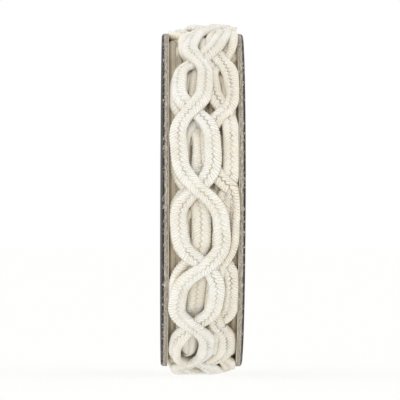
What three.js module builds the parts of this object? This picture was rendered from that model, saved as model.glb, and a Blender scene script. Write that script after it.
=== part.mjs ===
// A spool of chain cord. The trim is a chain: two flat braided cords that cross, part and cross
// again. It is wound several turns deep between two round flanges of greyboard, and its outermost
// turns stand a little proud of the rims.
// Millimetres, +Z up. The axle lies along X. The spool stands upright on its lowest cords, which
// its weight presses flat, and the surface it stands on is z = 0.
import * as THREE from 'three';

// Driving dimensions.
const FLANGE_RADIUS = 50;
const SPOOL_WIDTH = 24.3; // over both flanges
const BOARD_THICKNESS = 2;
const RIM_ROUND = 1; // radius of the rounded outer corner of a flange
const SEAT_GAP = 0.3; // between the wound cord and a flange
const CORD_WIDTH = 4.8;
const CORD_THICKNESS = 2.3;
const OUTER_TURN_RADIUS = 51.6; // from the axle to the middle of the cord
const UNDER_TURN_RADIUS = 49.7;
const INNER_TURN_RADIUS = 47.6;
const CROSSING_RISE = 0.6; // how far the upper cord of a crossing is lifted
const CROSSING_DIP = 0.8; // how far the lower cord of a crossing is pushed in
const CROSSING_REACH = 3.4; // distance along the cord over which it rises or dips
const PRESSED_DEPTH = 1; // how far the lowest crossing is pressed flat

// Derived from the above.
const INNER_FACE = SPOOL_WIDTH / 2 - BOARD_THICKNESS;
const WINDING_HALF_WIDTH = INNER_FACE - SEAT_GAP;
const WINDING_RADIUS = OUTER_TURN_RADIUS + CORD_THICKNESS / 2 + CROSSING_RISE;
const AXLE_HEIGHT = WINDING_RADIUS - PRESSED_DEPTH;

// Fineness of the solids.
const SECTIONS_PER_LINK = 11;
const CROSSING_MARGIN = 0.01; // share of a link between a crossing and the nearest section
const CORD_COLUMNS = [0, 0.04, 0.25, 0.5, 0.75, 0.96, 1]; // shares of a cord's width
const LEAST_COLUMN = 0.05;
const FLANGE_SEGMENTS = 72;
const ROUND_STEPS = 3;

// The loops of a turn. A link runs from one crossing to the next. `at` is the angle of its first
// crossing, in degrees from the front (-Y) upwards, over the top and down the back. `centre` is the
// X of that crossing. `left` and `right` are the X that its two cords reach half way along it, and
// `lift` raises it above the turn's own radius.
const OUTER_TURN = [
  { at: -174, centre: -1.2, left: -7.0, right: 4.6, lift: 0 },
  { at: -148, centre: -1.8, left: -6.6, right: 3.9, lift: 0 },
  { at: -119, centre: -1.4, left: -7.4, right: 4.0, lift: -0.6 },
  { at: -90.5, centre: 0.3, left: -8.0, right: 3.4, lift: 0 },
  { at: -69, centre: -3.3, left: -8.2, right: 1.0, lift: -0.6 },
  { at: -46, centre: -2.4, left: -7.2, right: 3.4, lift: 0 },
  { at: -22, centre: 0.4, left: -7.2, right: 5.1, lift: 0 },
  { at: 3.5, centre: -1.7, left: -7.3, right: 2.4, lift: 0 },
  { at: 31, centre: -3.2, left: -7.3, right: -0.2, lift: 0 },
  { at: 54.5, centre: -1.0, left: -4.4, right: 5.6, lift: 0 },
  { at: 82, centre: 2.6, left: -3.0, right: 5.4, lift: -0.3 },
  { at: 108, centre: -0.6, left: -6.6, right: 4.4, lift: 0 },
  { at: 134, centre: -1.3, left: -6.9, right: 4.8, lift: 0 },
  { at: 160, centre: -0.8, left: -6.2, right: 5.0, lift: 0 },
];

const UNDER_TURN = [
  { at: -172, centre: 5.2, left: 1.4, right: 8.4, lift: 0 },
  { at: -146, centre: 5.7, left: 2.2, right: 8.6, lift: 0 },
  { at: -118, centre: 5.2, left: 1.8, right: 8.5, lift: 0.2 },
  { at: -92, centre: 5.8, left: 2.4, right: 8.2, lift: 0.3 },
  { at: -70, centre: 4.0, left: 0.6, right: 7.6, lift: 0.2 },
  { at: -47, centre: 4.2, left: 3.2, right: 8.3, lift: 0 },
  { at: -20.5, centre: 5.6, left: 5.0, right: 8.9, lift: 0 },
  { at: 4.4, centre: 7.2, left: 1.5, right: 8.0, lift: 0 },
  { at: 32, centre: 7.0, left: 3.1, right: 7.9, lift: 0 },
  { at: 55, centre: 4.9, left: 3.0, right: 8.0, lift: 0.3 },
  { at: 80, centre: 6.0, left: 2.8, right: 8.4, lift: 1.1 },
  { at: 106, centre: 5.2, left: 1.6, right: 8.3, lift: 0 },
  { at: 131, centre: 5.8, left: 2.4, right: 8.5, lift: 0 },
  { at: 159, centre: 5.0, left: 1.6, right: 8.2, lift: 0 },
];

// The deeper turn shows only through the loops above it.
const INNER_TURN = [
  { at: -171, centre: -1.6, left: -7.4, right: 3.4, lift: 0 },
  { at: -145, centre: -2.2, left: -7.0, right: 2.8, lift: 0 },
  { at: -119, centre: -1.4, left: -7.2, right: 3.8, lift: 0 },
  { at: -93, centre: -3.0, left: -6.2, right: 1.8, lift: 0 },
  { at: -70, centre: -5.0, left: -8.0, right: -2.6, lift: 0 },
  { at: -46, centre: -4.6, left: -8.3, right: -1.8, lift: 0 },
  { at: -21, centre: -3.6, left: -7.4, right: -1.0, lift: 0.5 },
  { at: 4, centre: -4.6, left: -8.2, right: 0.6, lift: 0 },
  { at: 29, centre: -3.4, left: -7.8, right: -2.0, lift: 0 },
  { at: 54, centre: -4.2, left: -7.9, right: 3.4, lift: 0 },
  { at: 80, centre: -3.2, left: -8.4, right: 0.5, lift: 1.2 },
  { at: 106, centre: -1.8, left: -7.2, right: 3.0, lift: 1.2 },
  { at: 132, centre: -1.2, left: -6.8, right: 3.6, lift: 0 },
  { at: 158, centre: -2.0, left: -7.6, right: 3.2, lift: 0 },
];

const TURNS = [
  { radius: OUTER_TURN_RADIUS, rows: OUTER_TURN },
  { radius: UNDER_TURN_RADIUS, rows: UNDER_TURN },
  { radius: INNER_TURN_RADIUS, rows: INNER_TURN },
];

// Below the loops the cord is packed into a drum, a little lower beside the flanges.
const PACKED_RADIUS = 46.4;
const PACKED_EDGE_FALL = 1.6;

// Roundness of a loop: 0 is a plain sine, and more gives fuller shoulders.
const LOOP_FULLNESS = 0.1;
// Power of the oval section of a cord: 2 is an ellipse, and more is flatter on top.
const SECTION_POWER = 2.4;

const { degToRad, lerp } = THREE.MathUtils;

// How far along a link, from 0 to 1, an angle lies, with the link's row and the next one.
function linkAt(rows, degrees) {
  const first = rows[0].at;
  const wrapped = first + ((((degrees - first) % 360) + 360) % 360);
  let index = rows.length - 1;
  while (rows[index].at > wrapped) {
    index -= 1;
  }
  const row = rows[index];
  const next = rows[(index + 1) % rows.length];
  const end = index + 1 < rows.length ? next.at : next.at + 360;
  return { index, row, next, span: end - row.at, along: (wrapped - row.at) / (end - row.at) };
}

function loopShape(along) {
  const wave = Math.sin(Math.PI * along) + LOOP_FULLNESS * Math.sin(3 * Math.PI * along);
  return wave / (1 - LOOP_FULLNESS);
}

// Where one of the two cords of a turn lies at an angle: its X, and the radius of its middle.
// `cord` is 0 for the one that rides over at every crossing and 1 for the one below it.
function cordAt(turn, cord, degrees) {
  const { index, row, next, span, along } = linkAt(turn.rows, degrees);
  const outermost = (index + cord) % 2 === 0 ? row.right : row.left;
  const spread = outermost - (row.centre + next.centre) / 2;
  const x = lerp(row.centre, next.centre, along) + spread * loopShape(along);
  const toCrossing = Math.min(along, 1 - along) * degToRad(span) * turn.radius;
  const hump = Math.exp(-((toCrossing / CROSSING_REACH) ** 2));
  const shift = cord === 0 ? CROSSING_RISE : -CROSSING_DIP;
  return { x, radius: turn.radius + lerp(row.lift, next.lift, along) + shift * hump };
}

// The part of CORD_WIDTH that a cord covers along X where it runs aslant.
function halfWidthAt(turn, cord, degrees) {
  const step = 0.5;
  const travel = degToRad(2 * step) * turn.radius;
  const sideways = cordAt(turn, cord, degrees + step).x - cordAt(turn, cord, degrees - step).x;
  return (CORD_WIDTH / 2) * Math.hypot(1, sideways / travel);
}

// The cords that pass one angle, each with its middle, its radius and its half-width along X.
function cordsPassing(degrees) {
  return TURNS.flatMap((turn) =>
    [0, 1].map((cord) => ({
      ...cordAt(turn, cord, degrees),
      half: halfWidthAt(turn, cord, degrees),
    })),
  );
}

// Outer radius of the wound cord at one X, given the cords that pass there.
function surfaceRadius(cords, x) {
  const edge = Math.abs(x) / WINDING_HALF_WIDTH;
  let radius = PACKED_RADIUS - PACKED_EDGE_FALL * edge ** 4;
  for (const cord of cords) {
    const off = Math.abs(x - cord.x) / cord.half;
    if (off < 1) {
      const crown = (1 - off ** SECTION_POWER) ** (1 / SECTION_POWER);
      radius = Math.max(radius, cord.radius + CORD_THICKNESS * (crown - 0.5));
    }
  }
  return radius;
}

// The stretch of X that shows of the left and of the right cord of a turn. The upper cord of the
// pair shows whole, and hides the part of the lower one that it crosses.
function stretchesShowing(upper, lower) {
  const whole = { from: upper.x - upper.half, to: upper.x + upper.half };
  if (upper.x < lower.x) {
    const rest = { from: Math.max(lower.x - lower.half, whole.to), to: lower.x + lower.half };
    return [whole, rest];
  }
  const rest = { from: lower.x - lower.half, to: Math.min(lower.x + lower.half, whole.from) };
  return [rest, whole];
}

// The X of the points of one section across the winding. Points are spent where the outer cords'
// edges are, so that the loops have clean outlines, and a few go to the floor between them.
function columnsAcross(cords) {
  const [upper, lower, underUpper, underLower] = cords;
  const [left, right] = stretchesShowing(upper, lower);
  const far = stretchesShowing(underUpper, underLower)[1];
  far.from = Math.max(far.from, right.to);
  const columns = [-WINDING_HALF_WIDTH];
  const floorTo = (x, points) => {
    const from = columns.at(-1);
    for (let point = 1; point <= points; point += 1) {
      columns.push(lerp(from, x, point / (points + 1)));
    }
  };
  const cordBetween = ({ from, to }) => {
    for (const share of CORD_COLUMNS) {
      columns.push(lerp(from, to, share));
    }
  };
  floorTo(left.from, 1);
  cordBetween(left);
  floorTo(right.from, 3);
  cordBetween(right);
  floorTo(far.from, 2);
  cordBetween(far);
  columns.push(WINDING_HALF_WIDTH);
  return keptApart(columns);
}

// The same columns in order and at least LEAST_COLUMN apart, with both ends where they were.
function keptApart(columns) {
  const last = columns.length - 1;
  const kept = [...columns];
  for (let j = 1; j < last; j += 1) {
    kept[j] = Math.max(kept[j], kept[j - 1] + LEAST_COLUMN);
  }
  for (let j = last - 1; j > 0; j -= 1) {
    kept[j] = Math.min(kept[j], kept[j + 1] - LEAST_COLUMN);
  }
  return kept;
}

// The angles of the sections. Two of them lie close on either side of each crossing, where the
// left cord becomes the right one.
function sectionAngles() {
  return OUTER_TURN.flatMap((row, index) => {
    const next = OUTER_TURN[index + 1] ?? { at: OUTER_TURN[0].at + 360 };
    return Array.from({ length: SECTIONS_PER_LINK }, (_, step) => {
      const share = step / (SECTIONS_PER_LINK - 1);
      return lerp(row.at, next.at, lerp(CROSSING_MARGIN, 1 - CROSSING_MARGIN, share));
    });
  });
}

// The wound cord: one closed solid with the loops of its outer turns as its surface, flat ends
// beside the flanges, and a flat underside where it rests.
function windingGeometry() {
  const sections = sectionAngles().map((degrees) => {
    const angle = degToRad(degrees);
    const cords = cordsPassing(degrees);
    return columnsAcross(cords).map((x) => {
      const radius = surfaceRadius(cords, x);
      const z = AXLE_HEIGHT + radius * Math.sin(angle);
      return [x, -radius * Math.cos(angle), Math.max(z, 0)];
    });
  });
  const around = sections.length;
  const columns = sections[0].length;
  const lastColumn = columns - 1;
  const leftHub = around * columns;
  const rightHub = leftHub + 1;
  const hubs = [-WINDING_HALF_WIDTH, 0, AXLE_HEIGHT, WINDING_HALF_WIDTH, 0, AXLE_HEIGHT];
  const positions = [...sections.flat(2), ...hubs];

  const faces = [];
  for (let i = 0; i < around; i += 1) {
    const here = i * columns;
    const ahead = ((i + 1) % around) * columns;
    for (let j = 0; j < lastColumn; j += 1) {
      faces.push(here + j, here + j + 1, ahead + j + 1);
      faces.push(here + j, ahead + j + 1, ahead + j);
    }
    faces.push(leftHub, here, ahead);
    faces.push(rightHub, ahead + lastColumn, here + lastColumn);
  }
  const geometry = new THREE.BufferGeometry();
  geometry.setAttribute('position', new THREE.Float32BufferAttribute(positions, 3));
  geometry.setIndex(faces);
  geometry.computeVertexNormals();
  return geometry;
}

// A flange, lying on its inner face with its axis along +Y: square at the inner edge of the rim
// and rounded at the outer one, where the face paper is rolled over the board.
function flangeGeometry() {
  const profile = [new THREE.Vector2(0, 0), new THREE.Vector2(FLANGE_RADIUS, 0)];
  for (let step = 0; step <= ROUND_STEPS; step += 1) {
    const turn = (Math.PI / 2) * (step / ROUND_STEPS);
    const inset = RIM_ROUND * (1 - Math.cos(turn));
    const rise = RIM_ROUND * (1 - Math.sin(turn));
    profile.push(new THREE.Vector2(FLANGE_RADIUS - inset, BOARD_THICKNESS - rise));
  }
  profile.push(new THREE.Vector2(0, BOARD_THICKNESS));
  return new THREE.LatheGeometry(profile, FLANGE_SEGMENTS);
}

const board = new THREE.MeshStandardMaterial({ color: 0x8f877b, roughness: 0.9, metalness: 0 });
const cord = new THREE.MeshStandardMaterial({ color: 0xefeada, roughness: 0.7, metalness: 0 });

const spool = new THREE.Group();

const flangeSides = [
  { name: 'flange_left', side: -1 },
  { name: 'flange_right', side: 1 },
];
for (const { name, side } of flangeSides) {
  const flange = new THREE.Mesh(flangeGeometry(), board);
  flange.name = name;
  flange.rotation.z = (-side * Math.PI) / 2;
  flange.position.set(side * INNER_FACE, 0, AXLE_HEIGHT);
  spool.add(flange);
}

const winding = new THREE.Mesh(windingGeometry(), cord);
winding.name = 'winding';
spool.add(winding);

export default spool;
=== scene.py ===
"""The looks of a spool of chain cord: two greyboard flanges with a wound trim of braided cords.

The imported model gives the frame: metres, +Z up, the axle along X, the spool standing on z = 0.
Lengths below are written in millimetres and turned to metres where a mesh or a node takes them.
"""

import logging
import math
from collections.abc import Callable, Sequence
from dataclasses import dataclass, field
from enum import Enum

import bmesh
import bpy
from mathutils import Matrix, Vector


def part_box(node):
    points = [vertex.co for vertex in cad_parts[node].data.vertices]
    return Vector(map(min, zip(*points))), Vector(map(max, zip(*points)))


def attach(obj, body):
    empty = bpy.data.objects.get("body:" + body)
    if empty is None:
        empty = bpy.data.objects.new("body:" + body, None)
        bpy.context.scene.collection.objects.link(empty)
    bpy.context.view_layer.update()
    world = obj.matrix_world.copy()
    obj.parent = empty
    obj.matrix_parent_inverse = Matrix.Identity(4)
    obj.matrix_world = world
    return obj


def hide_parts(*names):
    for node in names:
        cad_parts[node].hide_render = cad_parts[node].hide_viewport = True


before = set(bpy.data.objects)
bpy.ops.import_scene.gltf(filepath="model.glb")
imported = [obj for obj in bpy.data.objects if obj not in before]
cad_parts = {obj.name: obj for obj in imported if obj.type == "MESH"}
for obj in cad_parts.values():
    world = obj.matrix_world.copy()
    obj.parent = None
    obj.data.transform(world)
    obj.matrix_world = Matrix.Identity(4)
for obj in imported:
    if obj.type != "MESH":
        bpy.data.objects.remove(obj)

LOG = logging.getLogger("spool")
MM = 0.001

# The fit of the winding between the flanges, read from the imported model.
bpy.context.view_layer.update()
RIGHT_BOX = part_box("flange_right")
FLANGE_RADIUS = (RIGHT_BOX[1].y - RIGHT_BOX[0].y) / 2 / MM
AXLE_HEIGHT = (RIGHT_BOX[0].z + RIGHT_BOX[1].z) / 2 / MM
INNER_FACE = RIGHT_BOX[0].x / MM
OUTER_FACE = RIGHT_BOX[1].x / MM

# The cord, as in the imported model's source.
CORD_WIDTH = 4.8
CORD_THICKNESS = 2.3
CROSSING_RISE = 0.6
CROSSING_DIP = 0.8
CROSSING_REACH = 3.4
LINKS_PER_TURN = 14
LOOP_FULLNESS = 0.1
RIB_PITCH = 0.8  # along the cord, of a rib of two threads


class CordRole(Enum):
    """Which of the two cords of the chain one is."""

    UPPER = 0  # rides over at every crossing
    LOWER = 1  # passes under at every crossing


class Side(Enum):
    """The end of the axle that a flange stands at."""

    LEFT = -1
    RIGHT = 1


# ---------------------------------------------------------------------------------------------
# Small tools
# ---------------------------------------------------------------------------------------------


def srgb(hex_colour: str) -> tuple[float, float, float, float]:
    """Turns an sRGB hex colour to the linear values that a shader takes.

    Args:
        hex_colour: six hex digits with a leading hash.

    Returns:
        Linear red, green and blue, and an alpha of 1.
    """
    parts = [int(hex_colour[i : i + 2], 16) / 255 for i in (1, 3, 5)]
    linear = [c / 12.92 if c <= 0.04045 else ((c + 0.055) / 1.055) ** 2.4 for c in parts]
    return (*linear, 1.0)


def add_node(
    tree: bpy.types.NodeTree, kind: str, links: dict | None = None, **settings: object
) -> bpy.types.Node:
    """Adds one node to a tree, with its settings and what goes into it.

    Args:
        tree: the tree that takes the node.
        kind: the node's bl_idname.
        links: for each input, by name or number, a value, a socket, or a node whose first
            output is meant.
        **settings: the node's own properties.

    Returns:
        The new node.
    """
    node = tree.nodes.new(kind)
    for name, value in settings.items():
        setattr(node, name, value)
    for key, value in (links or {}).items():
        source = value.outputs[0] if isinstance(value, bpy.types.Node) else value
        if isinstance(source, bpy.types.NodeSocket):
            tree.links.new(source, node.inputs[key])
        else:
            node.inputs[key].default_value = source
    return node


# What goes into a node: a number or a vector, a socket, or a node's first output.
Given = float | tuple | bpy.types.NodeSocket | bpy.types.Node


def calc(tree: bpy.types.NodeTree, operation: str, *inputs: Given) -> bpy.types.Node:
    """Adds a node that works out a number.

    Args:
        tree: the tree that takes the node.
        operation: what it does, such as "ADD".
        *inputs: what it works on, in the order of its own inputs.

    Returns:
        The new node.
    """
    return add_node(tree, "ShaderNodeMath", dict(enumerate(inputs)), operation=operation)


def vector_calc(tree: bpy.types.NodeTree, operation: str, *inputs: Given) -> bpy.types.Node:
    """Adds a node that works on vectors, with what calc() takes and gives."""
    return add_node(tree, "ShaderNodeVectorMath", dict(enumerate(inputs)), operation=operation)


def scaled(tree: bpy.types.NodeTree, vector: Given, factor: Given) -> bpy.types.Node:
    """Adds a node that gives the vector times the factor."""
    return add_node(
        tree, "ShaderNodeVectorMath", {0: vector, "Scale": factor}, operation="SCALE"
    )


def remap(
    tree: bpy.types.NodeTree,
    value: Given,
    taken: Sequence[Given],
    given: Sequence[Given] = (0.0, 1.0),
    **settings: object,
) -> bpy.types.Node:
    """Adds a node that maps one range of a value to another, and stops at both ends.

    Args:
        tree: the tree that takes the node.
        value: what is mapped.
        taken: the two ends of the range that it is read in.
        given: what those two ends are mapped to.
        **settings: the node's own properties.

    Returns:
        The new node.
    """
    ends = {"From Min": taken[0], "From Max": taken[1], "To Min": given[0], "To Max": given[1]}
    return add_node(tree, "ShaderNodeMapRange", {"Value": value, **ends}, **settings)


def mix_colours(
    tree: bpy.types.NodeTree, share: Given, first: Given, second: Given
) -> bpy.types.NodeSocket:
    """Adds a node that blends two colours.

    Args:
        tree: the tree that takes the node.
        share: how much of the second colour shows.
        first: the colour at a share of 0.
        second: the colour at a share of 1.

    Returns:
        The socket with the blend.
    """
    inputs = {"Factor": share, 6: first, 7: second}
    return add_node(tree, "ShaderNodeMix", inputs, data_type="RGBA").outputs[2]


def noise(
    tree: bpy.types.NodeTree, vector: Given, scale: Given, detail: Given, roughness: Given = 0.5
) -> bpy.types.NodeSocket:
    """Adds a noise texture.

    Args:
        tree: the tree that takes the node.
        vector: where it is read.
        scale: waves in each unit of that vector.
        detail: how many finer layers it has.
        roughness: how strong those are.

    Returns:
        The socket with its value, from 0 to 1.
    """
    inputs = {"Vector": vector, "Scale": scale, "Detail": detail, "Roughness": roughness}
    return add_node(tree, "ShaderNodeTexNoise", inputs).outputs["Fac"]


def bump(
    tree: bpy.types.NodeTree, height: Given, strength: float, distance: float
) -> bpy.types.Node:
    """Adds a node that turns a height to relief, of this strength and depth."""
    inputs = {"Height": height, "Strength": strength, "Distance": distance}
    return add_node(tree, "ShaderNodeBump", inputs)


def principled(tree: bpy.types.NodeTree, inputs: dict[str, Given]) -> None:
    """Ends a material with a principled shader that takes these inputs."""
    shader = add_node(tree, "ShaderNodeBsdfPrincipled", inputs)
    add_node(tree, "ShaderNodeOutputMaterial", {"Surface": shader})


def captured(
    tree: bpy.types.NodeTree, geometry: bpy.types.Node, values: dict[str, bpy.types.NodeSocket]
) -> bpy.types.Node:
    """Adds a node that captures values on each point, with an output of each one's name."""
    node = add_node(tree, "GeometryNodeCaptureAttribute", {"Geometry": geometry}, domain="POINT")
    for name, value in values.items():
        node.capture_items.new("VECTOR" if value.type == "VECTOR" else "FLOAT", name)
        tree.links.new(value, node.inputs[name])
    return node


def moved(tree: bpy.types.NodeTree, geometry: bpy.types.Node, **ends: Given) -> bpy.types.Node:
    """Adds a node that moves each point to its Position, or by its Offset."""
    return add_node(tree, "GeometryNodeSetPosition", {"Geometry": geometry, **ends})


def stored(tree: bpy.types.NodeTree, name: str) -> bpy.types.Node:
    """Adds a node that reads back a number stored on the mesh or the path."""
    return add_node(tree, "GeometryNodeInputNamedAttribute", {"Name": name}, data_type="FLOAT")


def new_material(name: str) -> tuple[bpy.types.Material, bpy.types.NodeTree]:
    """Makes a material with an empty node tree, and returns both."""
    made = bpy.data.materials.new(name)
    made.use_nodes = True
    made.node_tree.nodes.clear()
    return made, made.node_tree


def seen_directly(tree: bpy.types.NodeTree) -> bpy.types.NodeSocket:
    """Adds the nodes that tell what is seen, itself or mirrored, from what only gives light.

    Args:
        tree: the material's or world's tree.

    Returns:
        A socket that is 1 for camera, glossy and transmission rays.
    """
    path = add_node(tree, "ShaderNodeLightPath")
    glossy, through = path.outputs["Is Glossy Ray"], path.outputs["Is Transmission Ray"]
    mirrored = calc(tree, "MAXIMUM", glossy, through)
    return calc(tree, "MAXIMUM", path.outputs["Is Camera Ray"], mirrored).outputs[0]


def lerp(a: float, b: float, share: float) -> float:
    """Returns the value a share of the way from a to b."""
    return a + (b - a) * share


def smooth(share: float) -> float:
    """Returns the share, eased at both ends."""
    return share * share * (3 - 2 * share)


def mesh_object(name: str, mesh: bpy.types.Mesh) -> bpy.types.Object:
    """Puts a mesh into the scene as an object at the origin.

    Args:
        name: the piece's name.
        mesh: its mesh, in metres.

    Returns:
        The new object.
    """
    mesh.name = name
    made = bpy.data.objects.new(name, mesh)
    bpy.context.collection.objects.link(made)
    return made


def lathe(
    name: str,
    outline: Sequence[tuple[float, float]],
    segments: int,
    waver: Callable[[float, int], tuple[float, float]] | None = None,
) -> bpy.types.Object:
    """Turns an outline round the axle into a closed mesh with a UV map in millimetres.

    Args:
        name: the piece's name.
        outline: (radius, X) points in millimetres, from the axle and back to it, in the order
            that turns the faces outward for a rise in X.
        segments: steps round the axle.
        waver: gives the (radius, X) shift of an outline point at an angle, for an uneven edge.

    Returns:
        The new object, with its place in its mesh.
    """
    build = bmesh.new()
    uv_layer = build.loops.layers.uv.new("UVMap")
    rings: list[list[bmesh.types.BMVert]] = []
    walked = [0.0]
    for (r0, x0), (r1, x1) in zip(outline, outline[1:]):
        walked.append(walked[-1] + math.hypot(r1 - r0, x1 - x0))
    for index, (radius, x) in enumerate(outline):
        if radius == 0:
            rings.append([build.verts.new((x * MM, 0, AXLE_HEIGHT * MM))])
            continue
        ring = []
        for step in range(segments):
            angle = math.tau * step / segments
            shift_r, shift_x = waver(angle, index) if waver else (0.0, 0.0)
            r = (radius + shift_r) * MM
            place = (
                (x + shift_x) * MM,
                -r * math.cos(angle),
                AXLE_HEIGHT * MM + r * math.sin(angle),
            )
            ring.append(build.verts.new(place))
        rings.append(ring)
    for index, (lower, upper) in enumerate(zip(rings, rings[1:])):
        for step in range(segments):
            ahead = (step + 1) % segments
            corners = [
                (lower[step % len(lower)], step, index),
                (lower[ahead % len(lower)], step + 1, index),
                (upper[ahead % len(upper)], step + 1, index + 1),
                (upper[step % len(upper)], step, index + 1),
            ]
            unique = list({vert: (vert, s, i) for vert, s, i in corners}.values())
            face = build.faces.new([vert for vert, _, _ in unique])
            face.smooth = True
            for loop, (_, s, i) in zip(face.loops, unique):
                arc = math.tau * s / segments * FLANGE_RADIUS
                loop[uv_layer].uv = (arc, walked[i])
    bmesh.ops.recalc_face_normals(build, faces=build.faces)
    if build.calc_volume(signed=True) < 0:
        bmesh.ops.reverse_faces(build, faces=build.faces)
    mesh = bpy.data.meshes.new(name)
    build.to_mesh(mesh)
    build.free()
    return mesh_object(name, mesh)


@dataclass(frozen=True)
class Wander:
    """A slow, repeatable drift along a path, made of a few sines.

    Attributes:
        size: the most that it departs, in millimetres.
        seed: sets where its waves begin.
    """

    size: float
    seed: float

    def at(self, degrees: float) -> float:
        """Returns the drift at an angle round the axle, in millimetres."""
        turn = math.radians(degrees)
        waves = ((5.3, 1.7, 0.45), (11.9, 4.1, 0.35), (23.7, 2.9, 0.2))
        return self.size * sum(
            share * math.sin(rate * turn + phase * (1 + self.seed)) for rate, phase, share in waves
        )


# ---------------------------------------------------------------------------------------------
# Finishes
# ---------------------------------------------------------------------------------------------


@dataclass(frozen=True)
class BraidedRayon:
    """Viscose rayon floss braided over two cotton cores, undyed ivory.

    The long filaments lie side by side, so each rib has a soft satin shine across it. The two
    rows of ribs meet in a fine zigzag. Painted shade darkens the zigzag, most where a slow noise
    marks the cord as slack, and the gaps between ribs and between the two threads of a rib.
    """

    name: str = "braided_rayon"
    colour: str = "#fffefa"
    shade: str = "#f0ebdf"
    gap: str = "#bfb69f"  # painted shade, between two ribs and between the two threads of a rib
    painted_seam_shade: str = "#bcb198"  # painted shade, in the zigzag between the two rows
    filament: float = 0.26  # millimetres between the threads that show in a rib
    seam_width: float = 0.3  # millimetres
    thread: float = 0.42  # how much of its own colour is left between the two threads of a rib; the rest is painted shade
    roughness: float = 0.5
    stain_size: float = 9.0  # millimetres, of a paler or yellower stretch
    slack_size: float = 5.0  # millimetres, of a tighter or slacker stretch, where the painted shade is lighter or deeper

    def _ridge(
        self, tree: bpy.types.NodeTree, along: bpy.types.NodeSocket, pitch: float
    ) -> bpy.types.Node:
        """Adds a row of rounded ridges along the cord.

        Args:
            tree: the material's tree.
            along: place along the cord, in millimetres.
            pitch: millimetres from one ridge to the next.

        Returns:
            The node that is 1 on a ridge and 0 between two of them.
        """
        phase = calc(tree, "MULTIPLY", along, math.pi / pitch)
        wave = calc(tree, "SINE", phase)
        return calc(tree, "ABSOLUTE", wave)

    def material(self) -> bpy.types.Material:
        """Returns the finish as a material that reads the cord's own UV map, in millimetres."""
        made, tree = new_material(self.name)
        uv = add_node(tree, "ShaderNodeUVMap", uv_map="UVMap")
        place = add_node(tree, "ShaderNodeTexCoord")
        # Slow yellowing along the cord.
        stain = noise(tree, place.outputs["Object"], 1 / (self.stain_size * MM), 2.0)
        # Filaments lie along the rib, so they are close together along the cord.
        stretch = add_node(
            tree,
            "ShaderNodeMapping",
            {"Vector": uv, "Scale": (0.3 / self.filament, 1 / self.filament, 1.0)},
        )
        threads = noise(tree, stretch, 1.0, 1.0, 0.4)
        blend = calc(tree, "MULTIPLY", stain, threads)
        spread = remap(tree, blend, (0.14, 0.34))
        colour = mix_colours(tree, spread, srgb(self.shade), srgb(self.colour))
        # Painted shade: between the ribs, and in a finer valley between the two threads of a rib,
        # the colour turns to the warmer, darker gap colour, more so where the cord is slack.
        across = add_node(tree, "ShaderNodeSeparateXYZ", {"Vector": uv})
        valley = self._ridge(tree, across.outputs["Y"], RIB_PITCH)
        fine = self._ridge(tree, across.outputs["Y"], RIB_PITCH / 2)
        slack = noise(tree, place.outputs["Object"], 1 / (self.slack_size * MM), 1.0)
        tight = remap(tree, slack, (0.36, 0.64), (0.55, 0.0))
        raised = remap(tree, valley, (0.0, 0.6), (tight, 1.0))
        threaded = remap(tree, fine, (0.0, 0.7), (self.thread, 1.0))
        unshaded_share = calc(tree, "MULTIPLY", raised, threaded)
        ribbed = mix_colours(tree, unshaded_share, srgb(self.gap), colour)
        off = calc(tree, "ABSOLUTE", across.outputs["X"])
        # Painted shade in the zigzag between the two rows, deeper where the cord is slack.
        in_seam = remap(
            tree, off, (0.04, self.seam_width), (1.0, 0.0), interpolation_type="SMOOTHSTEP"
        )
        opened = remap(tree, slack, (0.38, 0.62), (0.2, 0.85))
        painted_seam_shade = calc(tree, "MULTIPLY", in_seam, opened)
        seamed = mix_colours(tree, painted_seam_shade, ribbed, srgb(self.painted_seam_shade))
        height = calc(tree, "MULTIPLY_ADD", threads, 0.8, threaded)
        relief = bump(tree, height, 0.6, 0.1 * MM)
        shader = {
            "Base Color": seamed,
            "Roughness": self.roughness,
            "IOR": 1.47,
            "Subsurface Weight": 0.4,
            "Subsurface Radius": (1.0, 0.8, 0.55),
            "Subsurface Scale": 1.2 * MM,
            "Sheen Weight": 0.15,
            "Sheen Roughness": 0.4,
            "Normal": relief,
        }
        principled(tree, shader)
        return made


@dataclass(frozen=True)
class Greyboard:
    """Recycled greyboard with a cut edge: pressed plies of mixed pulp with dark and pale flecks."""

    name: str = "cut_greyboard"
    colour: str = "#aba294"
    dark: str = "#665d51"
    pale: str = "#e4dccf"
    ply: float = 0.28  # millimetres between the plies that show at the cut edge

    def material(self) -> bpy.types.Material:
        """Returns the finish as a material that reads the board's UV map, in millimetres."""
        made, tree = new_material(self.name)
        uv = add_node(tree, "ShaderNodeUVMap", uv_map="UVMap")
        # Fibres are pressed flat into the plies, so flecks are long round the rim and thin.
        long = add_node(
            tree, "ShaderNodeMapping", {"Vector": uv, "Scale": (0.55, 1 / self.ply, 1.0)}
        )
        plies = noise(tree, long, 1.0, 4.0, 0.65)
        flecks = noise(tree, uv, 2.2, 3.0, 0.7)
        ramp = add_node(tree, "ShaderNodeValToRGB", {"Fac": plies})
        ramp.color_ramp.elements[0].position = 0.3
        ramp.color_ramp.elements[0].color = srgb(self.dark)
        ramp.color_ramp.elements[1].position = 0.7
        ramp.color_ramp.elements[1].color = srgb(self.pale)
        middle = ramp.color_ramp.elements.new(0.5)
        middle.color = srgb(self.colour)
        speckle = remap(tree, flecks, (0.35, 0.65), (0.62, 1.28))
        colour = scaled(tree, ramp.outputs["Color"], speckle)
        relief = bump(tree, plies, 0.7, 0.15 * MM)
        principled(tree, {"Base Color": colour, "Roughness": 0.9, "IOR": 1.45, "Normal": relief})
        return made


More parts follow.
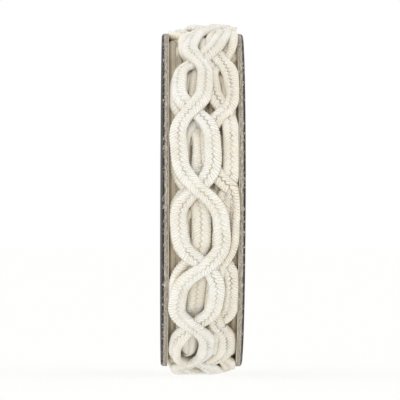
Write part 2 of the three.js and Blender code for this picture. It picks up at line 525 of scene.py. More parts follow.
@dataclass(frozen=True)
class FacePaper:
    """Printed cover paper, solid charcoal ink on coated stock, rubbed pale along the rim."""

    name: str = "charcoal_face_paper"
    colour: str = "#2d2a28"
    worn: str = "#cfcac0"
    fibre: float = 0.5  # millimetres across a rubbed patch
    worn_from: float = 1.2  # inside the rim, where rubbing begins
    worn_to: float = 0.1  # inside the rim, where it is at its full strength

    def material(self) -> bpy.types.Material:
        """Returns the finish as a material on Object coordinates."""
        made, tree = new_material(self.name)
        place = add_node(tree, "ShaderNodeTexCoord")
        centre = add_node(
            tree,
            "ShaderNodeMapping",
            {"Vector": place.outputs["Object"], "Location": (0, 0, -AXLE_HEIGHT * MM)},
        )
        flat = vector_calc(tree, "MULTIPLY", centre, (0, 1, 1))
        reach = vector_calc(tree, "LENGTH", flat)
        # Rubbing shows only where the paper turns over the corner.
        band = [(FLANGE_RADIUS - inside) * MM for inside in (self.worn_from, self.worn_to)]
        rim = remap(tree, reach.outputs["Value"], band)
        patches = noise(tree, place.outputs["Object"], 1 / (self.fibre * 2 * MM), 5.0, 0.7)
        rubbed = remap(tree, patches, (0.55, 0.63))
        wear = calc(tree, "MULTIPLY", rim, rubbed)
        colour = mix_colours(tree, wear, srgb(self.colour), srgb(self.worn))
        relief = bump(tree, patches, 0.25, 0.05 * MM)
        principled(tree, {"Base Color": colour, "Roughness": 0.7, "IOR": 1.4, "Normal": relief})
        return made


@dataclass(frozen=True)
class LinerPaper:
    """Unprinted liner paper on the inner face: pale, slightly toothed stock."""

    name: str = "pale_liner_paper"
    colour: str = "#dcd2c0"
    shade: str = "#c6bba8"
    tooth: float = 0.7  # millimetres across its pulp's waves

    def material(self) -> bpy.types.Material:
        """Returns the finish as a material on Object coordinates."""
        made, tree = new_material(self.name)
        place = add_node(tree, "ShaderNodeTexCoord")
        tooth = noise(tree, place.outputs["Object"], 1 / (self.tooth * MM), 5.0)
        colour = mix_colours(tree, tooth, srgb(self.colour), srgb(self.shade))
        relief = bump(tree, tooth, 0.3, 0.05 * MM)
        principled(tree, {"Base Color": colour, "Roughness": 0.85, "Normal": relief})
        return made


@dataclass(frozen=True)
class OpalAcrylic:
    """Opal acrylic of a shooting table: matt white, and part of the light comes through it.

    What the camera sees of it directly is lifted to plain white.
    """

    name: str = "opal_acrylic"
    colour: str = "#fdfdfb"
    through: float = 0.87  # share of its light that comes through from below
    lift: float = 0.015

    def material(self) -> bpy.types.Material:
        """Returns the finish, which still takes the object's shadow."""
        made, tree = new_material(self.name)
        seen = calc(tree, "MULTIPLY", seen_directly(tree), self.lift)
        matt = add_node(tree, "ShaderNodeBsdfDiffuse", {"Color": srgb(self.colour)})
        opal = add_node(tree, "ShaderNodeBsdfTranslucent", {"Color": srgb(self.colour)})
        sheet = add_node(tree, "ShaderNodeMixShader", {0: self.through, 1: matt, 2: opal})
        lifted = add_node(tree, "ShaderNodeEmission", {"Strength": seen})
        both = add_node(tree, "ShaderNodeAddShader", {0: sheet, 1: lifted})
        add_node(tree, "ShaderNodeOutputMaterial", {"Surface": both})
        return made


# ---------------------------------------------------------------------------------------------
# The chain trim
# ---------------------------------------------------------------------------------------------


@dataclass(frozen=True)
class Link:
    """One link of the chain, from one crossing to the next.

    Attributes:
        at: angle of its first crossing, in degrees from the front (-Y) upwards.
        centre: X of that crossing, in millimetres.
        left: X that its left cord reaches half way along.
        right: X that its right cord reaches half way along.
        lift: how far it stands above its turn's own radius.
        left_roll: degrees that the left cord is rolled, its groove towards +X when positive.
        right_roll: the same for the right cord.
    """

    at: float
    centre: float
    left: float
    right: float
    lift: float = 0.0
    left_roll: float = 0.0
    right_roll: float = 0.0


OUTER_LINKS = (
    Link(-174, -1.2, -7.0, 4.6, 0, 12, -18),
    Link(-148, -1.8, -6.6, 3.9, 0, 25, -6),
    Link(-119, -1.4, -7.4, 4.0, -0.6, -10, -24),
    Link(-90.5, 0.3, -6.2, 3.4, -0.2, 20, 12),
    Link(-71.5, -4.0, -7.9, 1.0, -0.5, -64, 30),
    Link(-46, -2.4, -7.2, 3.4, 0, 0, 2),
    Link(-22, 0.4, -7.2, 5.1, 0, 14, 0),
    Link(3.5, -1.7, -7.3, 2.4, 0, 0, 4),
    Link(31, -3.2, -7.3, 0.2, 0, -45, 16),
    Link(53.0, -2.2, -3.0, 5.2, 0, -24, 2),
    Link(82, 4.0, -2.4, 5.8, -0.3, 0, 8),
    Link(108, -0.6, -6.6, 4.4, 0, -8, 20),
    Link(134, -1.3, -6.9, 4.8, 0, 20, -12),
    Link(160, -0.8, -6.2, 5.0, 0, -14, -20),
)

UNDER_LINKS = (
    Link(-172, 5.2, 1.4, 8.4, 0, 10, -10),
    Link(-146, 5.7, 2.2, 8.6, 0, 0, 14),
    Link(-118, 5.2, 1.8, 8.5, 0.2, 0, -8),
    Link(-92, 5.8, 2.4, 8.2, 0.3, 0, 6),
    Link(-70, 4.0, 2.6, 7.0, 0.2, 10, 8),
    Link(-47, 4.2, 3.2, 8.3, 0, 0, -14),
    Link(-20.5, 5.6, 5.0, 8.9, 0, 0, -56),
    Link(4.4, 7.2, 1.5, 8.0, 0, 0, 0),
    Link(32, 7.0, 2.2, 8.4, 0, 6, -30),
    Link(55, 4.9, 3.0, 8.0, 0.3, 0, -40),
    Link(80, 6.0, 1.4, 8.4, 1.1, 0, -12),
    Link(106, 5.2, 1.6, 8.3, 0, 0, 16),
    Link(131, 5.8, 2.4, 8.5, 0, 0, -18),
    Link(159, 5.0, 1.6, 8.2, 0, 0, 8),
)

INNER_LINKS = (
    Link(-171, -1.6, -7.4, 3.4, 0, 20, -20),
    Link(-145, -2.2, -7.0, 2.8, 0, -12, 8),
    Link(-119, -1.4, -7.2, 3.8, 0, 10, 24),
    Link(-93, -3.0, -6.2, 1.8, 0, 0, -16),
    Link(-70, -4.0, -6.0, -2.0, 0.2, -60, 50),
    Link(-46, -4.6, -8.3, -1.8, 0.3, 64, 6),
    Link(-21, -3.0, -7.2, -0.6, 0.6, 0, 0),
    Link(4, -4.0, -7.0, -0.9, 0.4, -20, 24),
    Link(29, -3.2, -7.2, -1.6, 0.2, 0, 20),
    Link(54, -0.4, -4.4, 1.2, 1.4, 10, 0),
    Link(80, -1.0, -8.4, 1.6, 1.8, -10, 12),
    Link(106, -1.8, -7.2, 3.0, 2.0, 0, 24),
    Link(132, -1.2, -6.8, 3.6, 0, 18, -10),
    Link(158, -2.0, -7.6, 3.2, 0, -14, 0),
)


def drifting_links(
    start: float, centre: float, left: float, right: float, drift: float, rate: float
) -> tuple[Link, ...]:
    """Gives a deeper turn its links, alike but for a slow drift from side to side.

    Args:
        start: angle of the first crossing, in degrees.
        centre: mean X of the crossings.
        left: mean X of the left cord half way along a link.
        right: mean X of the right cord half way along a link.
        drift: the most that a link is moved sideways.
        rate: how fast the drift comes round, in radians for each link.

    Returns:
        The links, from the first to the last.
    """
    links = []
    for index in range(LINKS_PER_TURN):
        aside = drift * math.sin(rate * index)
        links.append(
            Link(
                at=start + 360 / LINKS_PER_TURN * index,
                centre=centre + aside,
                left=left + aside,
                right=right + aside,
                left_roll=30 * math.sin(1.9 * index + 1),
                right_roll=30 * math.sin(2.7 * index),
            )
        )
    return tuple(links)


@dataclass(frozen=True)
class Turn:
    """One turn of the trim round the spool.

    Attributes:
        name: what the turn is called.
        radius: distance from the axle to the middle of its cords.
        links: its links, in the order in which they follow.
        rows_per_rib: sections of the mesh for each rib of the braid.
        points_round: points of the cord's section.
        finish: one rayon in lit and shaded copies; the under turn is painted darker as painted
            shade, the inner and deep turns paler and warmer as painted bounce light.
        girth: its cords' size as a share of the cord's own, more where they are pressed wide.
    """

    name: str
    radius: float
    links: tuple[Link, ...]
    rows_per_rib: int
    points_round: int
    finish: BraidedRayon
    girth: float = 1.0


OUTER_RAYON = BraidedRayon()
# Lit and shaded copies of the rayon: the under turn is painted darker, as painted shade; the inner
# and deep turns are painted paler and warmer, with lighter painted shade between ribs, as painted
# bounce light in the holes; the packed drum is painted darker still, as painted shade in the
# recesses.
UNDER_RAYON_PAINTED_SHADE = BraidedRayon("under_rayon_painted_shade", "#fdf8ed", "#ece4d6", "#b8ad97", "#92887a")
INNER_RAYON_PAINTED_LIGHT = BraidedRayon("inner_rayon_painted_light", "#fffdf6", "#f6efe1", "#d6cab0", "#c6ba9f")
DEEP_RAYON_PAINTED_LIGHT = BraidedRayon("deep_rayon_painted_light", "#fff6e7", "#f8ecd8", "#dfcfb1", "#cbb996")
PACKED_RAYON_PAINTED_SHADE = BraidedRayon("packed_rayon_painted_shade", "#d0c5b2", "#bbb09a", "#9a8f7a", "#8d836f")

TURNS = (
    Turn("deep_turn", 47.0, drifting_links(-178, 1.2, -6.0, 7.0, 1.0, 1.7), 4, 12, DEEP_RAYON_PAINTED_LIGHT, 1.3),
    Turn("inner_turn", 47.8, INNER_LINKS, 5, 16, INNER_RAYON_PAINTED_LIGHT, 1.24),
    Turn("under_turn", 49.7, UNDER_LINKS, 6, 24, UNDER_RAYON_PAINTED_SHADE, 1.04),
    Turn("outer_turn", 51.6, OUTER_LINKS, 6, 24, OUTER_RAYON, 1.06),
)


@dataclass
class BraidTree:
    """The node tree that sweeps a braided cord along a path.

    The path carries a roll at each of its points. The tree sweeps a two-ridged section along it
    and slants the sections into chevrons. Then it shapes a rib for each thread that shows, half a
    rib out of step on the two ridges, so that they meet in a zigzag.

    Known fault: the swept faces point inwards, and so do the normals that the relief follows. The
    middle of a rib is pressed in and the joint between two ribs stands out, up to half of the
    rib height each, which is the wrong way round.
    """

    rib_height: float = 0.19
    slant: float = -1.6
    groove: float = 0.34
    squareness: float = 0.62  # power of the oval: 1 is an ellipse, and less is flatter on top
    zigzag: float = 0.3
    unevenness: float = 0.7  # ribs that the noise shifts them by
    uneven_size: float = 1.3  # across a wave of that noise
    free_from: float = 0.8  # above the rim, where a cord begins to bulge over it
    free_at: float = 2.4  # above the rim, where it bulges most
    overhang: float = 0.8  # the most that it bulges
    clearance: float = 0.08  # to the inner face of a flange
    tree: bpy.types.NodeTree = field(init=False)

    def __post_init__(self) -> None:
        """Builds the tree once, for every cord to share."""
        self.tree = bpy.data.node_groups.new("braided_cord", "GeometryNodeTree")
        self._sockets()
        self._nodes()

    def _sockets(self) -> None:
        """Names the tree's inputs and its output."""
        face = self.tree.interface
        face.new_socket("Path", in_out="INPUT", socket_type="NodeSocketGeometry")
        for name in ("Rows", "Points Round"):
            face.new_socket(name, in_out="INPUT", socket_type="NodeSocketInt")
        section = ("Width", "Thickness", "Groove", "Squareness")
        ribs = ("Ribs", "Slant", "Rib Height", "Rib Pitch", "Zigzag")
        for name in (*section, *ribs, "Axle Height", "Half Gap"):
            face.new_socket(name, in_out="INPUT", socket_type="NodeSocketFloat")
        face.new_socket("Material", in_out="INPUT", socket_type="NodeSocketMaterial")
        face.new_socket("Cord", in_out="OUTPUT", socket_type="NodeSocketGeometry")

    def _from_axle(self, given: bpy.types.Node) -> bpy.types.Node:
        """Adds the nodes that give each point's way out from the axle.

        Args:
            given: the tree's input node.

        Returns:
            The node with that vector, square to the axle.
        """
        tree = self.tree
        axle = add_node(tree, "ShaderNodeCombineXYZ", {"Z": given.outputs["Axle Height"]})
        place = add_node(tree, "GeometryNodeInputPosition")
        outward = vector_calc(tree, "SUBTRACT", place, axle)
        return vector_calc(tree, "MULTIPLY", outward, (0, 1, 1))

    def _framed_path(self, given: bpy.types.Node) -> bpy.types.Node:
        """Adds the nodes that space the path's points and turn its frame by the roll.

        Args:
            given: the tree's input node.

        Returns:
            The node that captures how far along each point is, and the path's direction there.
        """
        tree = self.tree
        drawn = add_node(tree, "GeometryNodeMeshToCurve", {"Mesh": given.outputs["Path"]})
        spaced = add_node(
            tree,
            "GeometryNodeResampleCurve",
            {"Curve": drawn, "Count": given.outputs["Rows"]},
            mode="COUNT",
        )
        tangent = add_node(tree, "GeometryNodeInputTangent")
        radial = self._from_axle(given)
        leaning = vector_calc(tree, "DOT_PRODUCT", radial, tangent)
        ahead = scaled(tree, tangent, leaning.outputs["Value"])
        upright = vector_calc(tree, "SUBTRACT", radial, ahead)
        normal = vector_calc(tree, "NORMALIZE", upright)
        roll = stored(tree, "roll")
        rolled = add_node(
            tree,
            "ShaderNodeVectorRotate",
            {"Vector": normal, "Axis": tangent, "Angle": roll},
            rotation_type="AXIS_ANGLE",
        )
        framed = add_node(
            tree, "GeometryNodeSetCurveNormal", {"Curve": spaced, "Normal": rolled}, mode="FREE"
        )
        sideways = vector_calc(tree, "CROSS_PRODUCT", tangent, rolled)
        parameter = add_node(tree, "GeometryNodeSplineParameter")
        values = {
            "Along": parameter.outputs["Factor"],
            "Ahead": tangent.outputs["Tangent"],
            "Sideways": sideways.outputs["Vector"],
        }
        return captured(tree, framed, values)

    def _section(self, given: bpy.types.Node) -> tuple[bpy.types.Node, bpy.types.Node]:
        """Adds the nodes that shape the cord's section: an oval with two ridges and a groove.

        Args:
            given: the tree's input node.

        Returns:
            The node with the shaped section, and the one that captures each point's place
            across it, from -1 to 1.
        """
        tree = self.tree
        circle = add_node(
            tree,
            "GeometryNodeCurvePrimitiveCircle",
            {"Resolution": given.outputs["Points Round"], "Radius": 1.0},
            mode="RADIUS",
        )
        place = add_node(tree, "GeometryNodeInputPosition")
        split = add_node(tree, "ShaderNodeSeparateXYZ", {"Vector": place})
        across = captured(tree, circle, {"Across": split.outputs["X"]})
        out = calc(tree, "ABSOLUTE", split.outputs["X"])
        back = calc(tree, "SUBTRACT", 1.0, out)
        product = calc(tree, "MULTIPLY", out, back)
        root = calc(tree, "SQRT", product)
        ridges = calc(tree, "MULTIPLY", root, 2.0)
        flank = calc(tree, "ABSOLUTE", split.outputs["Y"])
        oval = calc(tree, "POWER", flank, given.outputs["Squareness"])
        crown = add_node(
            tree,
            "ShaderNodeMix",
            {"Factor": given.outputs["Groove"], 2: oval, 3: ridges},
            data_type="FLOAT",
        )
        upper = calc(tree, "SIGN", split.outputs["Y"])
        signed = calc(tree, "MULTIPLY", crown.outputs[0], upper)
        half_width = calc(tree, "MULTIPLY", given.outputs["Width"], 0.5)
        half_thick = calc(tree, "MULTIPLY", given.outputs["Thickness"], 0.5)
        rise = calc(tree, "MULTIPLY", signed, half_thick)
        side = calc(tree, "MULTIPLY", split.outputs["X"], half_width)
        point = add_node(tree, "ShaderNodeCombineXYZ", {"X": rise, "Y": side})
        return moved(tree, across, Position=point), across

    def _ribbed(
        self,
        given: bpy.types.Node,
        path: bpy.types.Node,
        section: bpy.types.Node,
        across: bpy.types.Node,
    ) -> bpy.types.Node:
        """Adds the nodes that sweep the section, slant it into chevrons and shape the ribs.

        Args:
            given: the tree's input node.
            path: the captured path.
            section: the shaped section.
            across: the node that captured the place across the section.

        Returns:
            The node with the ribbed cord.
        """
        tree = self.tree
        girth = stored(tree, "girth")
        swept = add_node(
            tree,
            "GeometryNodeCurveToMesh",
            {"Curve": path, "Profile Curve": section, "Scale": girth, "Fill Caps": True},
        )
        out = calc(tree, "ABSOLUTE", across.outputs["Across"])
        lag = calc(tree, "MULTIPLY", out, given.outputs["Slant"])
        shift = scaled(tree, path.outputs["Ahead"], lag)
        slanted = moved(tree, swept, Offset=shift)
        right = calc(tree, "GREATER_THAN", across.outputs["Across"], 0.0)
        half_step = calc(tree, "MULTIPLY", right, 0.5)
        # Hand-fed floss: no two ribs are quite as wide.
        place = add_node(tree, "GeometryNodeInputPosition")
        uneven = noise(tree, place, 1 / (self.uneven_size * MM), 1.0)
        jitter = calc(tree, "MULTIPLY_ADD", uneven, self.unevenness, half_step)
        count = calc(tree, "MULTIPLY_ADD", path.outputs["Along"], given.outputs["Ribs"], jitter)
        numbered = add_node(
            tree,
            "GeometryNodeStoreNamedAttribute",
            {"Geometry": slanted, "Name": "rib", "Value": count},
            data_type="FLOAT",
            domain="POINT",
        )
        rib = stored(tree, "rib")
        angle = calc(tree, "MULTIPLY", rib, math.pi)
        wave = calc(tree, "SINE", angle)
        round_rib = calc(tree, "ABSOLUTE", wave)
        centred = calc(tree, "SUBTRACT", round_rib, 0.5)
        height = calc(tree, "MULTIPLY", centred, given.outputs["Rib Height"])
        # These normals point inwards, which turns the relief round: see the class's known fault.
        normal = add_node(tree, "GeometryNodeInputNormal")
        relief = scaled(tree, normal, height)
        # The two rows of ribs meet in a zigzag at the bottom of the groove.
        turns = calc(tree, "MULTIPLY", path.outputs["Along"], given.outputs["Ribs"])
        phase = calc(tree, "MULTIPLY", turns, math.pi)
        swing = calc(tree, "SINE", phase)
        near = remap(tree, out, (0.0, 0.6), (1.0, 0.0))
        near_swing = calc(tree, "MULTIPLY", swing, near)
        reach = calc(tree, "MULTIPLY", near_swing, given.outputs["Zigzag"])
        aside = scaled(tree, path.outputs["Sideways"], reach)
        return moved(tree, numbered, Offset=vector_calc(tree, "ADD", relief, aside))

    def _pressed(self, given: bpy.types.Node, cord: bpy.types.Node) -> bpy.types.Node:
        """Adds the nodes that press the cord flat against the flanges and what it stands on.

        Above the rims nothing presses on the cord, so it bulges a little way over them.

        Args:
            given: the tree's input node.
            cord: the ribbed cord.

        Returns:
            The node with the pressed cord.
        """
        tree = self.tree
        place = add_node(tree, "GeometryNodeInputPosition")
        split = add_node(tree, "ShaderNodeSeparateXYZ", {"Vector": place})
        reach = vector_calc(tree, "LENGTH", self._from_axle(given))
        rim = [(FLANGE_RADIUS + above) * MM for above in (self.free_from, self.free_at)]
        over = remap(tree, reach.outputs["Value"], rim, (0.0, self.overhang * MM))
        most = calc(tree, "ADD", given.outputs["Half Gap"], over)
        least = calc(tree, "MULTIPLY", most, -1.0)
        between = add_node(
            tree, "ShaderNodeClamp", {"Value": split.outputs["X"], "Min": least, "Max": most}
        )
        above = calc(tree, "MAXIMUM", split.outputs["Z"], 0.0)
        point = add_node(
            tree, "ShaderNodeCombineXYZ", {"X": between, "Y": split.outputs["Y"], "Z": above}
        )
        return moved(tree, cord, Position=point)

    def _nodes(self) -> None:
        """Joins the stages, maps the cord in millimetres and gives it its finish."""
        tree = self.tree
        given = add_node(tree, "NodeGroupInput")
        path = self._framed_path(given)
        section, across = self._section(given)
        ribbed = self._ribbed(given, path, section, across)
        pressed = self._pressed(given, ribbed)
        u = calc(tree, "MULTIPLY", across.outputs["Across"], CORD_WIDTH / 2)
        rib = stored(tree, "rib")
        v = calc(tree, "MULTIPLY", rib, given.outputs["Rib Pitch"])
        uv = add_node(tree, "ShaderNodeCombineXYZ", {"X": u, "Y": v})
        mapped = add_node(
            tree,
            "GeometryNodeStoreNamedAttribute",
            {"Geometry": pressed, "Name": "UVMap", "Value": uv},
            data_type="FLOAT2",
            domain="CORNER",
        )
        rounded = add_node(tree, "GeometryNodeSetShadeSmooth", {"Geometry": mapped})
        whole = add_node(tree, "GeometryNodeRealizeInstances", {"Geometry": rounded})
        dressed = add_node(
            tree,
            "GeometryNodeSetMaterial",
            {"Geometry": whole, "Material": given.outputs["Material"]},
        )
        add_node(tree, "NodeGroupOutput", {"Cord": dressed})

    def sweep(
        self,
        name: str,
        path: Sequence[tuple[Vector, float, float]],
        rows_per_rib: int,
        points_round: int,
        material: bpy.types.Material,
    ) -> bpy.types.Object:
        """Makes one cord along a path.

        Args:
            name: the piece's name.
            path: places in metres, with the roll there in radians and the girth there as a
                share of the cord's own, from end to end.
            rows_per_rib: sections for each rib.
            points_round: points of the section.
            material: the cord's finish.

        Returns:
            The cord as a plain mesh at the origin.
        """
        line = bpy.data.meshes.new(name + "_path")
        count = len(path)
        places = [place for place, _, _ in path]
        line.from_pydata(places, [(i, i + 1) for i in range(count - 1)], [])
        for column, attribute in ((1, "roll"), (2, "girth")):
            made = line.attributes.new(attribute, "FLOAT", "POINT")
            made.data.foreach_set("value", [point[column] for point in path])
        length = sum((b - a).length for a, b in zip(places, places[1:]))
        ribs = round(length / MM / RIB_PITCH)
        carrier = bpy.data.objects.new(name + "_path", line)
        bpy.context.collection.objects.link(carrier)
        modifier = carrier.modifiers.new("braid", "NODES")
        modifier.node_group = self.tree
        values = {
            "Rows": ribs * rows_per_rib + 1,
            "Points Round": points_round,
            "Ribs": float(ribs),
            "Width": CORD_WIDTH * MM,
            "Thickness": CORD_THICKNESS * MM,
            "Groove": self.groove,
            "Slant": self.slant * MM,
            "Rib Height": self.rib_height * MM,
            "Rib Pitch": RIB_PITCH,
            "Zigzag": self.zigzag * MM,
            "Squareness": self.squareness,
            "Axle Height": AXLE_HEIGHT * MM,
            "Half Gap": (INNER_FACE - self.clearance) * MM,
            "Material": material,
        }
        for socket in self.tree.interface.items_tree:
            if socket.name in values:
                modifier[socket.identifier] = values[socket.name]
        evaluated = carrier.evaluated_get(bpy.context.evaluated_depsgraph_get())
        mesh = bpy.data.meshes.new_from_object(evaluated)
        bpy.data.objects.remove(carrier)
        bpy.data.meshes.remove(line)
        return mesh_object(name, mesh)


@dataclass
class ChainTrim:
    """The wound trim: two braided cords that cross and part, turn over turn.

    Attributes:
        turns: the turns, from the deepest to the outermost.
        tuck_radius: how deep the outer end is tucked under the turn's own first link.
        pinch: share of its girth that a cord loses where the other one crosses it.
        step: degrees between the points of a path.
        aside: the most that a cord wanders along the axle.
        outward: the most that it wanders from or to the axle.
        twist: the most that its roll wanders, in degrees.
    """

    turns: tuple[Turn, ...]
    tuck_radius: float = 47.2
    pinch: float = 0.14
    step: float = 0.5
    aside: float = 0.22
    outward: float = 0.14
    twist: float = 8.0

    def _link_at(self, index: int, degrees: float) -> tuple[int, Link, Link, float]:
        """Finds the link that an angle lies in.

        Args:
            index: the turn's place in the list of turns.
            degrees: angle within the turn.

        Returns:
            The link's number, the link, the one after it with its angle unwound, and how far
            along the angle lies.
        """
        links = self.turns[index].links
        following = self.turns[min(index + 1, len(self.turns) - 1)].links[0]
        after_last = Link(following.at + 360, following.centre, 0, 0, following.lift)
        number = max(i for i, link in enumerate(links) if link.at <= degrees or i == 0)
        link = links[number]
        after = links[number + 1] if number + 1 < len(links) else after_last
        return number, link, after, min(1.0, (degrees - link.at) / (after.at - link.at))

    def _cord_at(
        self, index: int, role: CordRole, degrees: float
    ) -> tuple[float, float, float, float]:
        """Places one cord at an angle.

        Args:
            index: the turn's place in the list of turns.
            role: which of the two cords.
            degrees: angle within the turn.

        Returns:
            Its X, the radius of its middle, its roll in degrees, and its girth as a share of
            the cord's own.
        """
        turn = self.turns[index]
        number, link, after, along = self._link_at(index, degrees)
        on_right = (number + role.value) % 2 == 0
        outermost = link.right if on_right else link.left
        roll = link.right_roll if on_right else link.left_roll
        wave = math.sin(math.pi * along) + LOOP_FULLNESS * math.sin(3 * math.pi * along)
        shape = wave / (1 - LOOP_FULLNESS)
        spread = outermost - (link.centre + after.centre) / 2
        x = lerp(link.centre, after.centre, along) + spread * shape
        radius = turn.radius
        if number == len(turn.links) - 1:
            is_outer = index == len(self.turns) - 1
            goal = self.tuck_radius if is_outer else self.turns[index + 1].radius
            radius = lerp(radius, goal, smooth(along))
        span = math.radians(after.at - link.at)
        to_crossing = min(along, 1 - along) * span * turn.radius
        hump = math.exp(-((to_crossing / CROSSING_REACH) ** 2))
        shift = CROSSING_RISE if role is CordRole.UPPER else -CROSSING_DIP
        radius += lerp(link.lift, after.lift, along) + shift * hump
        return x, radius, roll * shape, turn.girth * (1 - self.pinch * hump)

    def path(self, index: int, role: CordRole) -> list[tuple[Vector, float, float]]:
        """Works out the path of one cord through one turn.

        Args:
            index: the turn's place in the list of turns.
            role: which of the two cords.

        Returns:
            Places in metres, with the roll there in radians and the girth there.
        """
        first = self.turns[index].links[0].at
        last = self._link_at(index, first + 359)[2].at
        aside = Wander(self.aside, 1 + role.value)
        outward = Wander(self.outward, 3 + role.value)
        twist = Wander(self.twist, 5 + role.value)
        points = []
        steps = math.ceil((last - first) / self.step)
        for number in range(steps + 1):
            degrees = lerp(first, last, number / steps)
            x, radius, roll, girth = self._cord_at(index, role, degrees)
            total = degrees + 360 * index
            angle = math.radians(degrees)
            r = radius + outward.at(total)
            place = Vector(
                (x + aside.at(total), -r * math.cos(angle), AXLE_HEIGHT + r * math.sin(angle))
            )
            points.append((place * MM, math.radians(roll + twist.at(total)), girth))
        return points

    def build(self) -> list[bpy.types.Object]:
        """Makes both cords of every turn.

        Returns:
            The pieces, deepest turn first.
        """
        braid = BraidTree()
        pieces = []
        for index, turn in enumerate(self.turns):
            material = turn.finish.material()
            for role in CordRole:
                name = f"{turn.name}_{role.name.lower()}_cord"
                piece = braid.sweep(
                    name, self.path(index, role), turn.rows_per_rib, turn.points_round, material
                )
                pieces.append(piece)
        return pieces


@dataclass
class PackedCord:
    """What shows between the deepest cords that are made one by one: more cord, packed tight."""

    radius: float = 47.3
    ridge: float = 0.8
    ridges: int = 9
    segments: int = 240

    def build(self) -> bpy.types.Object:
        """Makes the drum of packed cord.

        Returns:
            The closed drum.
        """
        half = INNER_FACE - 0.1
        steps = self.ridges * 8
        outline = [(0.0, -half)]
        for step in range(steps + 1):
            x = lerp(-half, half, step / steps)
            swell = abs(math.sin(math.pi * self.ridges * step / steps))
            outline.append((self.radius + self.ridge * swell, x))
        outline.append((0.0, half))
        drum = lathe("packed_cord", outline, self.segments)
        # Its finish is painted shade: a darker copy of the rayon that darkens the recesses where
        # the drum shows.
        drum.data.materials.append(PACKED_RAYON_PAINTED_SHADE.material())
        return drum


# ---------------------------------------------------------------------------------------------
# The flanges
# ---------------------------------------------------------------------------------------------


@dataclass
class Flange:
    """One flange: a greyboard disc between its charcoal face paper and its pale liner.

    Attributes:
        side: the end of the axle that it stands at.
        corner: radius of the board's outer corner.
        paper: thickness of the face paper.
        liner: thickness of the liner.
        turned_over: how far down the rim the face paper reaches.
    """

    side: Side
    corner: float = 1.0
    paper: float = 0.12
    liner: float = 0.22
    turned_over: float = 0.62
    segments: int = 360
    round_steps: int = 8

    def _x(self, depth: float) -> float:
        """Returns the X of a depth below the outer face, in millimetres."""
        return self.side.value * (OUTER_FACE - depth)

    def _arc(self, inset: float, to_depth: float) -> list[tuple[float, float]]:
        """Gives the rounded outer corner, or a line a little inside it.

        Args:
            inset: how far inside the corner's surface.
            to_depth: depth below the outer face where it stops, on the rim.

        Returns:
            (radius, X) points from the outer face round to the rim.
        """
        r = self.corner - inset
        points = []
        for step in range(self.round_steps + 1):
            turn = math.pi / 2 * step / self.round_steps
            out = FLANGE_RADIUS - self.corner + r * math.sin(turn)
            depth = self.corner - r * math.cos(turn)
            if depth < to_depth:
                points.append((out, self._x(depth)))
        points.append((self._rim_radius(inset, to_depth), self._x(to_depth)))
        return points

    def _rim_radius(self, inset: float, depth: float) -> float:
        """Returns the radius of the rim at a depth below the outer face."""
        if depth >= self.corner:
            return FLANGE_RADIUS - inset
        r = self.corner - inset
        fall = self.corner - depth
        return FLANGE_RADIUS - self.corner + math.sqrt(max(r * r - fall * fall, 0.0))

    def _ragged(self, size: float, rows: set[int], seed: float) -> Callable:
        """Makes a waver for an uneven cut edge.

        Args:
            size: the most that it departs, in millimetres.
            rows: numbers of the outline points that it moves.
            seed: sets where its waves begin.

        Returns:
            The waver that lathe() takes.
        """
        slow = Wander(size, seed)
        fast = Wander(size * 0.7, seed + 4)

        def shift(angle: float, index: int) -> tuple[float, float]:
            """Returns the (radius, X) shift of one point."""
            if index not in rows:
                return 0.0, 0.0
            degrees = math.degrees(angle)
            return 0.0, slow.at(degrees * 3) + fast.at(degrees * 9)

        return shift

    def build(self) -> list[bpy.types.Object]:
        """Makes the board, the face paper and the liner.

        Returns:
            The three pieces.
        """
        name = f"flange_{self.side.name.lower()}"
        gap = 0.015
        thickness = OUTER_FACE - INNER_FACE
        board_outline = [
            (0.0, self._x(self.paper + gap)),
            *self._arc(self.paper + gap, self.turned_over - 0.1),
            (FLANGE_RADIUS - 0.04, self._x(self.turned_over + 0.05)),
            (FLANGE_RADIUS - 0.02, self._x(thickness * 0.55)),
            (FLANGE_RADIUS - 0.04, self._x(thickness - self.liner - gap)),
            (0.0, self._x(thickness - self.liner - gap)),
        ]
        outer = self._arc(0.0, self.turned_over)
        inner = self._arc(self.paper, self.turned_over)
        paper_outline = [
            (0.0, self._x(0.0)),
            *outer,
            *reversed(inner),
            (0.0, self._x(self.paper)),
        ]
        edge_rows = {len(outer), len(outer) + 1}
        paper_waver = self._ragged(0.1, edge_rows, 2.0 + self.side.value)
        liner_outline = [
            (0.0, self._x(thickness - self.liner)),
            (FLANGE_RADIUS - 0.1, self._x(thickness - self.liner)),
            (FLANGE_RADIUS, self._x(thickness - self.liner + 0.05)),
            (FLANGE_RADIUS, self._x(thickness - 0.05)),
            (FLANGE_RADIUS - 0.08, self._x(thickness)),
            (0.0, self._x(thickness)),
        ]
        liner_waver = self._ragged(0.03, {1, 2}, 7.0 + self.side.value)
        pieces = []
        for sheet, outline, waver, finish in (
            ("greyboard", board_outline, None, Greyboard()),
            ("face_paper", paper_outline, paper_waver, FacePaper()),
            ("liner_paper", liner_outline, liner_waver, LinerPaper()),
        ):
            piece = lathe(f"{name}_{sheet}", outline, self.segments, waver)
            piece.data.materials.append(finish.material())
            pieces.append(piece)
        return pieces


# ---------------------------------------------------------------------------------------------
# The studio
# ---------------------------------------------------------------------------------------------


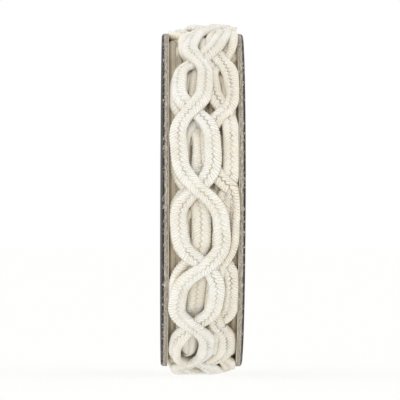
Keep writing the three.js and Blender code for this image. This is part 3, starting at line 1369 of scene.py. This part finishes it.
@dataclass
class Studio:
    """A white table under soft light from all round, one soft box, and a long lens."""

    distance: float = 1500.0
    field_width: float = 120.3  # of the view, at the axle
    yaw: float = 0.8
    roll: float = 0.2
    aim_x: float = -0.48

    def table(self) -> bpy.types.Object:
        """Makes the flat table that the spool stands on.

        Returns:
            The table's sheet.
        """
        half, z = 4.0, -0.02 * MM
        corners = [(-half, -half, z), (half, -half, z), (half, half, z), (-half, half, z)]
        mesh = bpy.data.meshes.new("table")
        mesh.from_pydata(corners, [], [(0, 1, 2, 3)])
        table = mesh_object("table", mesh)
        table.data.materials.append(OpalAcrylic().material())
        return table

    def camera(self) -> bpy.types.Object:
        """Makes the camera, far in front at the height of the axle.

        Returns:
            The camera.
        """
        data = bpy.data.cameras.new("camera")
        data.sensor_width = 36
        data.lens = data.sensor_width * self.distance / self.field_width
        data.clip_end = 20
        camera = bpy.data.objects.new("camera", data)
        bpy.context.collection.objects.link(camera)
        aim = Vector((self.aim_x, 0, AXLE_HEIGHT)) * MM
        yaw = math.radians(self.yaw)
        back = Vector((-math.sin(yaw), -math.cos(yaw), 0))
        camera.location = aim + back * self.distance * MM
        facing = (-back).to_track_quat("-Z", "Y").to_matrix()
        tip = Matrix.Rotation(math.radians(self.roll), 3, "Z")
        camera.rotation_mode = "QUATERNION"
        camera.rotation_quaternion = (facing @ tip).to_quaternion()
        bpy.context.scene.camera = camera
        return camera

    def light(
        self, name: str, place: tuple[float, float, float], size: float, power: float
    ) -> None:
        """Adds a square soft box that faces the spool.

        Args:
            name: the lamp's name.
            place: where it hangs, in metres.
            size: length of a side, in metres.
            power: its power, in watts.
        """
        data = bpy.data.lights.new(name, "AREA")
        data.shape = "SQUARE"
        data.size = size
        data.energy = power
        lamp = bpy.data.objects.new(name, data)
        bpy.context.collection.objects.link(lamp)
        lamp.location = place
        towards = Vector((0, 0, AXLE_HEIGHT * MM)) - lamp.location
        lamp.rotation_euler = towards.to_track_quat("-Z", "Y").to_euler()

    def world(self) -> None:
        """Lights the spool softly from all round, with plain white at a strength of 1."""
        world = bpy.data.worlds.new("surroundings")
        world.use_nodes = True
        tree = world.node_tree
        tree.nodes.clear()
        sky = add_node(tree, "ShaderNodeBackground", {"Color": (1, 1, 1, 1), "Strength": 1.0})
        add_node(tree, "ShaderNodeOutputWorld", {"Surface": sky})
        bpy.context.scene.world = world

    def build(self) -> None:
        """Sets up the whole studio."""
        self.table()
        self.camera()
        self.world()
        self.light("key_box", (-0.45, -1.7, 0.22), 0.4, 4.5)
        bpy.context.scene.view_settings.view_transform = "Standard"


def main() -> None:
    """Builds the spool and the studio, and reports each piece."""
    logging.basicConfig(level=logging.INFO, format="%(name)s: %(message)s")
    cords = ChainTrim(TURNS).build()
    cords.append(PackedCord().build())
    for piece in cords:
        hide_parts("winding")
    flanges = []
    for side in Side:
        node = f"flange_{side.name.lower()}"
        for piece in Flange(side).build():
            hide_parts(node)
            flanges.append(piece)
    for piece in [*cords, *flanges]:
        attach(piece, "root")
        triangles = sum(len(face.vertices) - 2 for face in piece.data.polygons)
        LOG.info("%s: %d triangles", piece.name, triangles)
    Studio().build()


if __name__ == "__main__":
    main()
